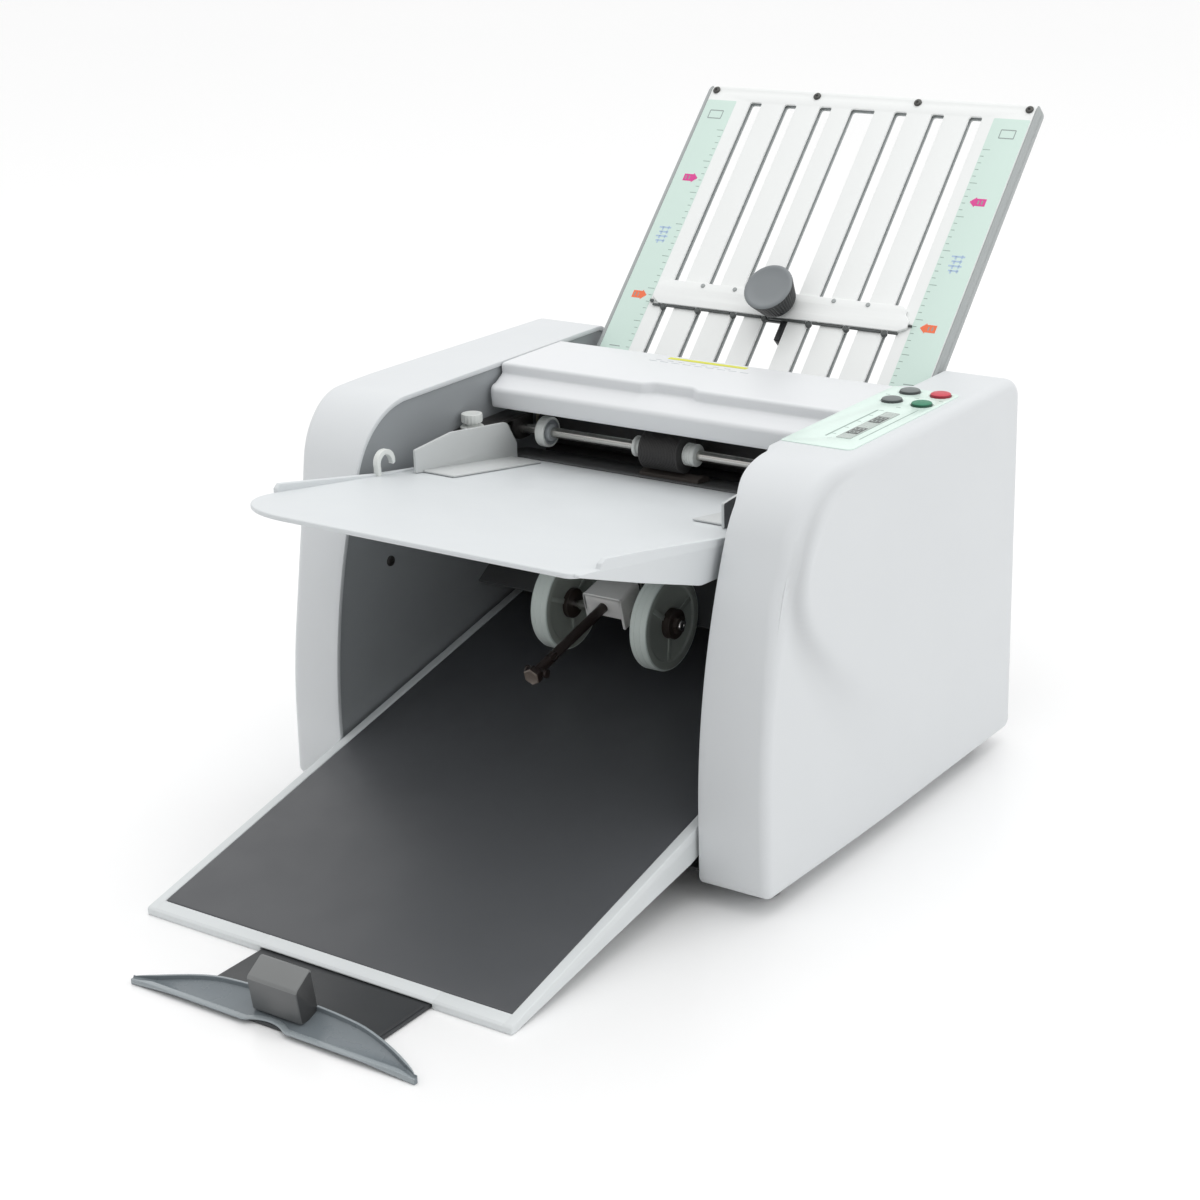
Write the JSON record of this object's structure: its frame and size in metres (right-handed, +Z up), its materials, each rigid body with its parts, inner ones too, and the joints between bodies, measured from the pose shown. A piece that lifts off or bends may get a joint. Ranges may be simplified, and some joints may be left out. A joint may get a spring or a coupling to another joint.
{
  "type": "paper folding machine",
  "caption": "Desk-top paper folding machine with two side covers, feed table, slotted leaning fold plate with clamped stop, stacker wheels, delivery tray and sliding paper stop.",
  "frame": {"origin": "on the desk, under the middle of the machine's bounding box", "axes": "+Z up, +Y from the operator at the delivery side towards the leaning fold plate, +X to the operator's right, where the control strip is"},
  "size_m": [0.3524, 0.6472, 0.3712],
  "materials": {
    "cover_plastic": "fine moulded grain",
    "frame_paint": "dark grey satin paint",
    "pan_steel": "dark grey satin paint",
    "bar_steel": "turned",
    "foot_rubber": "matt",
    "strip_plastic": "satin printed film",
    "window_plastic": "smoked, glossy",
    "grey_button": "satin",
    "green_button": "satin",
    "red_button": "satin",
    "board_laminate": "circuit board lacquer",
    "black_plastic": "satin",
    "motor_paint": "black paint",
    "pulley_aluminium": "turned",
    "belt_rubber": "matt",
    "bush_plastic": "satin",
    "roller_rubber": "ground",
    "gear_plastic": "satin",
    "shaft_steel": "ground",
    "guide_paint": "dark paint",
    "pad_rubber": "matt",
    "collar_plastic": "satin",
    "table_plastic": "fine moulded grain",
    "hood_plastic": "fine moulded grain",
    "plate_paint": "pale satin paint",
    "screw_steel": "blackened",
    "stop_plastic": "satin",
    "knob_plastic": "satin",
    "wheel_plastic": "satin",
    "bright_sheet": "bright plated",
    "tray_plastic": "fine moulded grain",
    "deck_paint": "dark satin paint",
    "stop_grey": "satin"
  },
  "bodies": {
    "frame": {"left_cover": "cover_plastic", "right_cover": "cover_plastic", "left_side_frame": "frame_paint", "right_side_frame": "frame_paint", "base_pan": "pan_steel", "cross_bars": "bar_steel", "rubber_feet": "foot_rubber", "cover_screws": "screw_steel", "control_panel": "strip_plastic", "display_window": "window_plastic", "control_board": "board_laminate", "power_inlet": "black_plastic", "shaft_bearings": "bush_plastic", "drive_motor": "motor_paint", "drive_belt": "belt_rubber", "infeed_guide": "guide_paint", "separation_pad": "pad_rubber", "feed_bracket": "black_plastic", "feed_table": "table_plastic", "upper_plate_front": "plate_paint", "upper_plate_back": "plate_paint", "plate_screws": "screw_steel", "lower_fold_plate": "plate_paint", "exit_guide": "guide_paint", "stacker_cross_bar": "guide_paint", "tray_body": "tray_plastic", "tray_deck": "deck_paint"},
    "hood": {"top_hood": "hood_plastic"},
    "feed_drive": {"feed_shaft": "shaft_steel", "feed_roller": "roller_rubber", "feed_collars": "collar_plastic", "feed_gear": "gear_plastic"},
    "idler": {"idler_gear": "gear_plastic"},
    "roller_1": {"fold_roller_1": "roller_rubber", "fold_gear_1": "gear_plastic"},
    "roller_2": {"fold_roller_2": "roller_rubber", "main_gear_pulley": "gear_plastic"},
    "roller_3": {"fold_roller_3": "roller_rubber", "fold_gear_3": "gear_plastic"},
    "roller_4": {"fold_roller_4": "roller_rubber", "fold_gear_4": "gear_plastic"},
    "motor_shaft": {"motor_pulley": "pulley_aluminium"},
    "guide_left": {"feed_guide_left": "plate_paint"},
    "guide_right": {"feed_guide_right": "plate_paint"},
    "lock_screw": {"guide_lock_screw": "collar_plastic"},
    "upper_stop": {"upper_stop_bar": "plate_paint", "clamp_foot": "knob_plastic"},
    "upper_knob": {"stop_knob": "knob_plastic"},
    "lower_stop": {"lower_stop_bar": "stop_plastic"},
    "stacker_arm": {"stacker_rod": "black_plastic"},
    "carrier": {"wheel_carrier": "bright_sheet"},
    "wheels": {"stacker_axle": "shaft_steel", "stacker_wheels": "wheel_plastic"},
    "extension": {"tray_extension": "deck_paint"},
    "stop": {"paper_stop": "stop_grey"},
    "plus_key": {"button_plus": "grey_button"},
    "minus_key": {"button_minus": "grey_button"},
    "start_key": {"button_start": "green_button"},
    "stop_key": {"button_stop": "red_button"},
    "rocker": {"switch_rocker": "black_plastic"}
  },
  "joints": [
    {"name": "hood_hinge", "type": "hinge", "parent": "frame", "child": "hood", "pos_m": [0.00575, 0.13236, 0.2145], "axis": [-1, 0, 0], "range_deg": [0, 85]},
    {"name": "master_roller_spin", "type": "hinge", "parent": "frame", "child": "roller_2", "pos_m": [0.00575, 0.11836, 0.1563], "axis": [1, 0, 0], "continuous": true},
    {"name": "roller_1_spin", "type": "hinge", "parent": "frame", "child": "roller_1", "pos_m": [0.00575, 0.11836, 0.1867], "axis": [1, 0, 0], "continuous": true},
    {"name": "roller_3_spin", "type": "hinge", "parent": "frame", "child": "roller_3", "pos_m": [0.00575, 0.14876, 0.1563], "axis": [1, 0, 0], "continuous": true},
    {"name": "roller_4_spin", "type": "hinge", "parent": "frame", "child": "roller_4", "pos_m": [0.00575, 0.11836, 0.1259], "axis": [1, 0, 0], "continuous": true},
    {"name": "idler_spin", "type": "hinge", "parent": "frame", "child": "idler", "pos_m": [0.14075, 0.09523, 0.1792], "axis": [1, 0, 0], "continuous": true},
    {"name": "feed_shaft_spin", "type": "hinge", "parent": "frame", "child": "feed_drive", "pos_m": [0.00575, 0.07786, 0.1915], "axis": [1, 0, 0], "continuous": true},
    {"name": "motor_spin", "type": "hinge", "parent": "frame", "child": "motor_shaft", "pos_m": [0.15075, 0.12636, 0.0485], "axis": [1, 0, 0], "continuous": true},
    {"name": "guide_left_slide", "type": "slide", "parent": "frame", "child": "guide_left", "axis": [1, 0, 0], "range_m": [0, 0.055]},
    {"name": "guide_right_slide", "type": "slide", "parent": "frame", "child": "guide_right", "axis": [-1, 0, 0], "range_m": [0, 0.055]},
    {"name": "lock_screw_turn", "type": "hinge", "parent": "frame", "child": "lock_screw", "pos_m": [-0.11225, 0.03536, 0.2005], "axis": [0, 0, 1], "range_deg": [0, 360]},
    {"name": "upper_stop_slide", "type": "slide", "parent": "frame", "child": "upper_stop", "axis": [0, 0.6934, 0.7206], "range_m": [-0.012, 0.14]},
    {"name": "upper_knob_turn", "type": "hinge", "parent": "upper_stop", "child": "upper_knob", "pos_m": [0.00575, 0.20483, 0.25427], "axis": [0, -0.7206, 0.6934], "range_deg": [0, 360]},
    {"name": "lower_stop_slide", "type": "slide", "parent": "frame", "child": "lower_stop", "axis": [0, 0.3799, -0.925], "range_m": [-0.03, 0.02]},
    {"name": "stacker_arm_lift", "type": "hinge", "parent": "frame", "child": "stacker_arm", "pos_m": [0.00275, 0.03236, 0.12224], "axis": [-1, 0, 0], "range_deg": [0, 12]},
    {"name": "carrier_slide", "type": "slide", "parent": "stacker_arm", "child": "carrier", "axis": [0, -0.9672, -0.2541], "range_m": [0, 0.058]},
    {"name": "stacker_wheel_spin", "type": "hinge", "parent": "carrier", "child": "wheels", "pos_m": [0.0035, 0.01485, 0.10947], "axis": [1, 0, 0], "continuous": true},
    {"name": "extension_slide", "type": "slide", "parent": "frame", "child": "extension", "axis": [0, -1, 0], "range_m": [0, 0.06]},
    {"name": "paper_stop_slide", "type": "slide", "parent": "extension", "child": "stop", "axis": [0, 1, 0], "range_m": [0, 0.034]},
    {"name": "plus_key_press", "type": "slide", "parent": "frame", "child": "plus_key", "axis": [0, 0, -1], "range_m": [0, 0.0015], "stiffness_N_per_m": 400},
    {"name": "minus_key_press", "type": "slide", "parent": "frame", "child": "minus_key", "axis": [0, 0, -1], "range_m": [0, 0.0015], "stiffness_N_per_m": 400},
    {"name": "start_key_press", "type": "slide", "parent": "frame", "child": "start_key", "axis": [0, 0, -1], "range_m": [0, 0.0015], "stiffness_N_per_m": 400},
    {"name": "stop_key_press", "type": "slide", "parent": "frame", "child": "stop_key", "axis": [0, 0, -1], "range_m": [0, 0.0015], "stiffness_N_per_m": 400},
    {"name": "rocker_tilt", "type": "hinge", "parent": "frame", "child": "rocker", "pos_m": [-0.09225, 0.18436, 0.1665], "axis": [1, 0, 0], "range_deg": [0, 14]}
  ],
  "couplings": [
    {"joint": "roller_1_spin", "follows": "master_roller_spin", "ratio": -1},
    {"joint": "roller_3_spin", "follows": "master_roller_spin", "ratio": -1},
    {"joint": "roller_4_spin", "follows": "master_roller_spin", "ratio": -1},
    {"joint": "idler_spin", "follows": "master_roller_spin", "ratio": 1.6667},
    {"joint": "feed_shaft_spin", "follows": "master_roller_spin", "ratio": -1.25},
    {"joint": "motor_spin", "follows": "master_roller_spin", "ratio": 2.5294},
    {"joint": "guide_right_slide", "follows": "guide_left_slide", "ratio": 1}
  ]
}
